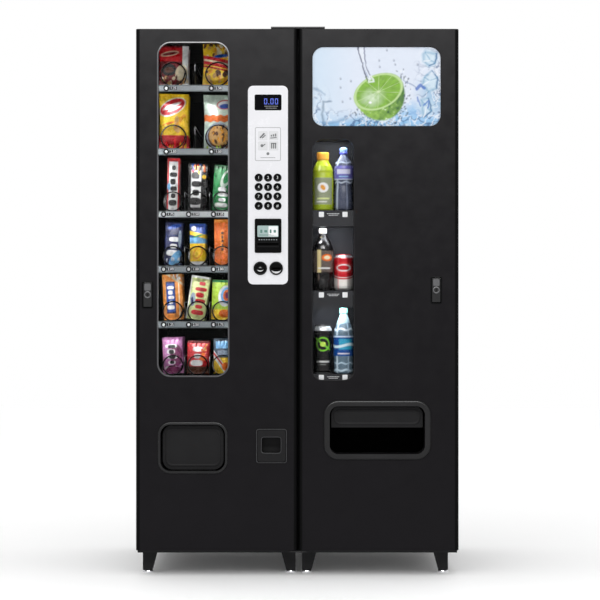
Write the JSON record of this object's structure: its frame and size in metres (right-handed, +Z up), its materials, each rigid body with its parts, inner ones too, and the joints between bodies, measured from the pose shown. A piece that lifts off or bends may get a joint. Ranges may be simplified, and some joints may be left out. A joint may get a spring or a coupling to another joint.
{
  "type": "combination snack and drink vending machine",
  "caption": "Free-standing combination vending machine: snack cabinet with glazed spiral trays beside a cold-drink cabinet, both with hinged doors and delivery ports.",
  "frame": {"origin": "on the floor, at the centre of the machine's bounding box in plan", "axes": "+X to the right along the front, +Y from the doors to the back, +Z up"},
  "size_m": [1.078, 0.72, 1.837],
  "materials": {
    "cabinet_black": "satin",
    "door_charcoal": "fine textured satin",
    "strap_steel": "satin",
    "leg_grey": "satin",
    "tray_slate": "satin",
    "motor_plastic": "matt",
    "liner_black": "matt",
    "rack_steel": "brushed",
    "inlet_plastic": "matt",
    "clear_glass": "clear",
    "panel_white": "gloss",
    "lens_black": "gloss",
    "black_plastic": "semi gloss",
    "key_black": "semi gloss",
    "trim_grey": "satin",
    "trim_dark": "satin",
    "sign_picture": "lit translucent",
    "display_slate": "satin",
    "drink_plastic": "clear and printed",
    "lock_steel": "polished",
    "spiral_wire": "gloss",
    "wrapper_film": "printed film",
    "gasket_rubber": "matt"
  },
  "bodies": {
    "root": {"snack_cabinet": "cabinet_black", "drink_cabinet": "cabinet_black", "hinge_plates": "strap_steel", "levelling_legs": "leg_grey", "snack_trays": "tray_slate", "spiral_motors": "motor_plastic", "snack_hopper": "liner_black", "drink_columns": "rack_steel", "drink_chute": "liner_black", "compressor_unit": "liner_black", "power_inlet": "inlet_plastic"},
    "snack_door": {"snack_door_panel": "door_charcoal", "snack_window_glass": "clear_glass", "control_panel": "panel_white", "display_lens": "lens_black", "bill_validator": "black_plastic", "coin_fittings": "black_plastic", "coin_cup": "black_plastic", "snack_port_trim": "trim_grey", "snack_lock_housing": "liner_black"},
    "drink_door": {"drink_door_panel": "door_charcoal", "sign_panel": "sign_picture", "drink_window_glass": "clear_glass", "display_shelves": "display_slate", "display_drinks": "drink_plastic", "drink_port_trim": "trim_dark", "drink_lock_housing": "liner_black"},
    "snack_flap": {"snack_port_flap": "liner_black"},
    "drink_flap": {"drink_port_flap": "trim_dark"},
    "coin_button": {"coin_return_button": "black_plastic"},
    "snack_handle": {"snack_lock_handle": "lock_steel"},
    "drink_handle": {"drink_lock_handle": "lock_steel"},
    "key_1_cap": {"key_1": "key_black"},
    "key_2_cap": {"key_2": "key_black"},
    "key_3_cap": {"key_3": "key_black"},
    "key_4_cap": {"key_4": "key_black"},
    "key_5_cap": {"key_5": "key_black"},
    "key_6_cap": {"key_6": "key_black"},
    "key_7_cap": {"key_7": "key_black"},
    "key_8_cap": {"key_8": "key_black"},
    "key_9_cap": {"key_9": "key_black"},
    "key_star_cap": {"key_star": "key_black"},
    "key_0_cap": {"key_0": "key_black"},
    "key_hash_cap": {"key_hash": "key_black"},
    "spiral_1a_coil": {"spiral_1a": "spiral_wire"},
    "spiral_1b_coil": {"spiral_1b": "spiral_wire"},
    "spiral_2a_coil": {"spiral_2a": "spiral_wire"},
    "spiral_2b_coil": {"spiral_2b": "spiral_wire"},
    "spiral_3a_coil": {"spiral_3a": "spiral_wire"},
    "spiral_3b_coil": {"spiral_3b": "spiral_wire"},
    "spiral_3c_coil": {"spiral_3c": "spiral_wire"},
    "spiral_4a_coil": {"spiral_4a": "spiral_wire"},
    "spiral_4b_coil": {"spiral_4b": "spiral_wire"},
    "spiral_4c_coil": {"spiral_4c": "spiral_wire"},
    "spiral_5a_coil": {"spiral_5a": "spiral_wire"},
    "spiral_5b_coil": {"spiral_5b": "spiral_wire"},
    "spiral_5c_coil": {"spiral_5c": "spiral_wire"},
    "spiral_6a_coil": {"spiral_6a": "spiral_wire"},
    "spiral_6b_coil": {"spiral_6b": "spiral_wire"},
    "spiral_6c_coil": {"spiral_6c": "spiral_wire"}
  },
  "joints": [
    {"name": "door_drink_hinge", "type": "hinge", "parent": "root", "child": "drink_door", "pos_m": [0.017, -0.339, 0.085], "axis": [0, 0, -1], "range_deg": [0, 80]},
    {"name": "door_snack_hinge", "type": "hinge", "parent": "root", "child": "snack_door", "pos_m": [-0.012, -0.339, 0.085], "axis": [0, 0, 1], "range_deg": [0, 80]},
    {"name": "flap_drink_hinge", "type": "hinge", "parent": "drink_door", "child": "drink_flap", "pos_m": [0.267, -0.328, 0.561], "axis": [1, 0, 0], "range_deg": [0, 65]},
    {"name": "flap_snack_hinge", "type": "hinge", "parent": "snack_door", "child": "snack_flap", "pos_m": [-0.349, -0.328, 0.498], "axis": [1, 0, 0], "range_deg": [0, 65]},
    {"name": "handle_drink_pull", "type": "slide", "parent": "drink_door", "child": "drink_handle", "axis": [0, -1, 0], "range_m": [0, 0.016]},
    {"name": "handle_snack_pull", "type": "slide", "parent": "snack_door", "child": "snack_handle", "axis": [0, -1, 0], "range_m": [0, 0.016]},
    {"name": "coin_return_press", "type": "slide", "parent": "snack_door", "child": "coin_button", "axis": [0, 1, 0], "range_m": [0, 0.004], "stiffness_N_per_m": 400},
    {"name": "key_1_press", "type": "slide", "parent": "snack_door", "child": "key_1_cap", "axis": [0, 1, 0], "range_m": [0, 0.002], "stiffness_N_per_m": 400},
    {"name": "key_2_press", "type": "slide", "parent": "snack_door", "child": "key_2_cap", "axis": [0, 1, 0], "range_m": [0, 0.002], "stiffness_N_per_m": 400},
    {"name": "key_3_press", "type": "slide", "parent": "snack_door", "child": "key_3_cap", "axis": [0, 1, 0], "range_m": [0, 0.002], "stiffness_N_per_m": 400},
    {"name": "key_4_press", "type": "slide", "parent": "snack_door", "child": "key_4_cap", "axis": [0, 1, 0], "range_m": [0, 0.002], "stiffness_N_per_m": 400},
    {"name": "key_5_press", "type": "slide", "parent": "snack_door", "child": "key_5_cap", "axis": [0, 1, 0], "range_m": [0, 0.002], "stiffness_N_per_m": 400},
    {"name": "key_6_press", "type": "slide", "parent": "snack_door", "child": "key_6_cap", "axis": [0, 1, 0], "range_m": [0, 0.002], "stiffness_N_per_m": 400},
    {"name": "key_7_press", "type": "slide", "parent": "snack_door", "child": "key_7_cap", "axis": [0, 1, 0], "range_m": [0, 0.002], "stiffness_N_per_m": 400},
    {"name": "key_8_press", "type": "slide", "parent": "snack_door", "child": "key_8_cap", "axis": [0, 1, 0], "range_m": [0, 0.002], "stiffness_N_per_m": 400},
    {"name": "key_9_press", "type": "slide", "parent": "snack_door", "child": "key_9_cap", "axis": [0, 1, 0], "range_m": [0, 0.002], "stiffness_N_per_m": 400},
    {"name": "key_star_press", "type": "slide", "parent": "snack_door", "child": "key_star_cap", "axis": [0, 1, 0], "range_m": [0, 0.002], "stiffness_N_per_m": 400},
    {"name": "key_0_press", "type": "slide", "parent": "snack_door", "child": "key_0_cap", "axis": [0, 1, 0], "range_m": [0, 0.002], "stiffness_N_per_m": 400},
    {"name": "key_hash_press", "type": "slide", "parent": "snack_door", "child": "key_hash_cap", "axis": [0, 1, 0], "range_m": [0, 0.002], "stiffness_N_per_m": 400},
    {"name": "spiral_1a_turn", "type": "hinge", "parent": "root", "child": "spiral_1a_coil", "pos_m": [-0.424, -0.25, 1.6928], "axis": [0, 1, 0], "continuous": true},
    {"name": "spiral_1b_turn", "type": "hinge", "parent": "root", "child": "spiral_1b_coil", "pos_m": [-0.271, -0.25, 1.6928], "axis": [0, 1, 0], "continuous": true},
    {"name": "spiral_2a_turn", "type": "hinge", "parent": "root", "child": "spiral_2a_coil", "pos_m": [-0.424, -0.25, 1.4778], "axis": [0, 1, 0], "continuous": true},
    {"name": "spiral_2b_turn", "type": "hinge", "parent": "root", "child": "spiral_2b_coil", "pos_m": [-0.271, -0.25, 1.4778], "axis": [0, 1, 0], "continuous": true},
    {"name": "spiral_3a_turn", "type": "hinge", "parent": "root", "child": "spiral_3a_coil", "pos_m": [-0.425, -0.25, 1.2568], "axis": [0, 1, 0], "continuous": true},
    {"name": "spiral_3b_turn", "type": "hinge", "parent": "root", "child": "spiral_3b_coil", "pos_m": [-0.34, -0.25, 1.2568], "axis": [0, 1, 0], "continuous": true},
    {"name": "spiral_3c_turn", "type": "hinge", "parent": "root", "child": "spiral_3c_coil", "pos_m": [-0.256, -0.25, 1.2568], "axis": [0, 1, 0], "continuous": true},
    {"name": "spiral_4a_turn", "type": "hinge", "parent": "root", "child": "spiral_4a_coil", "pos_m": [-0.425, -0.25, 1.0708], "axis": [0, 1, 0], "continuous": true},
    {"name": "spiral_4b_turn", "type": "hinge", "parent": "root", "child": "spiral_4b_coil", "pos_m": [-0.34, -0.25, 1.0708], "axis": [0, 1, 0], "continuous": true},
    {"name": "spiral_4c_turn", "type": "hinge", "parent": "root", "child": "spiral_4c_coil", "pos_m": [-0.256, -0.25, 1.0708], "axis": [0, 1, 0], "continuous": true},
    {"name": "spiral_5a_turn", "type": "hinge", "parent": "root", "child": "spiral_5a_coil", "pos_m": [-0.425, -0.25, 0.8828], "axis": [0, 1, 0], "continuous": true},
    {"name": "spiral_5b_turn", "type": "hinge", "parent": "root", "child": "spiral_5b_coil", "pos_m": [-0.34, -0.25, 0.8828], "axis": [0, 1, 0], "continuous": true},
    {"name": "spiral_5c_turn", "type": "hinge", "parent": "root", "child": "spiral_5c_coil", "pos_m": [-0.256, -0.25, 0.8828], "axis": [0, 1, 0], "continuous": true},
    {"name": "spiral_6a_turn", "type": "hinge", "parent": "root", "child": "spiral_6a_coil", "pos_m": [-0.425, -0.25, 0.6988], "axis": [0, 1, 0], "continuous": true},
    {"name": "spiral_6b_turn", "type": "hinge", "parent": "root", "child": "spiral_6b_coil", "pos_m": [-0.34, -0.25, 0.6988], "axis": [0, 1, 0], "continuous": true},
    {"name": "spiral_6c_turn", "type": "hinge", "parent": "root", "child": "spiral_6c_coil", "pos_m": [-0.256, -0.25, 0.6988], "axis": [0, 1, 0], "continuous": true}
  ]
}
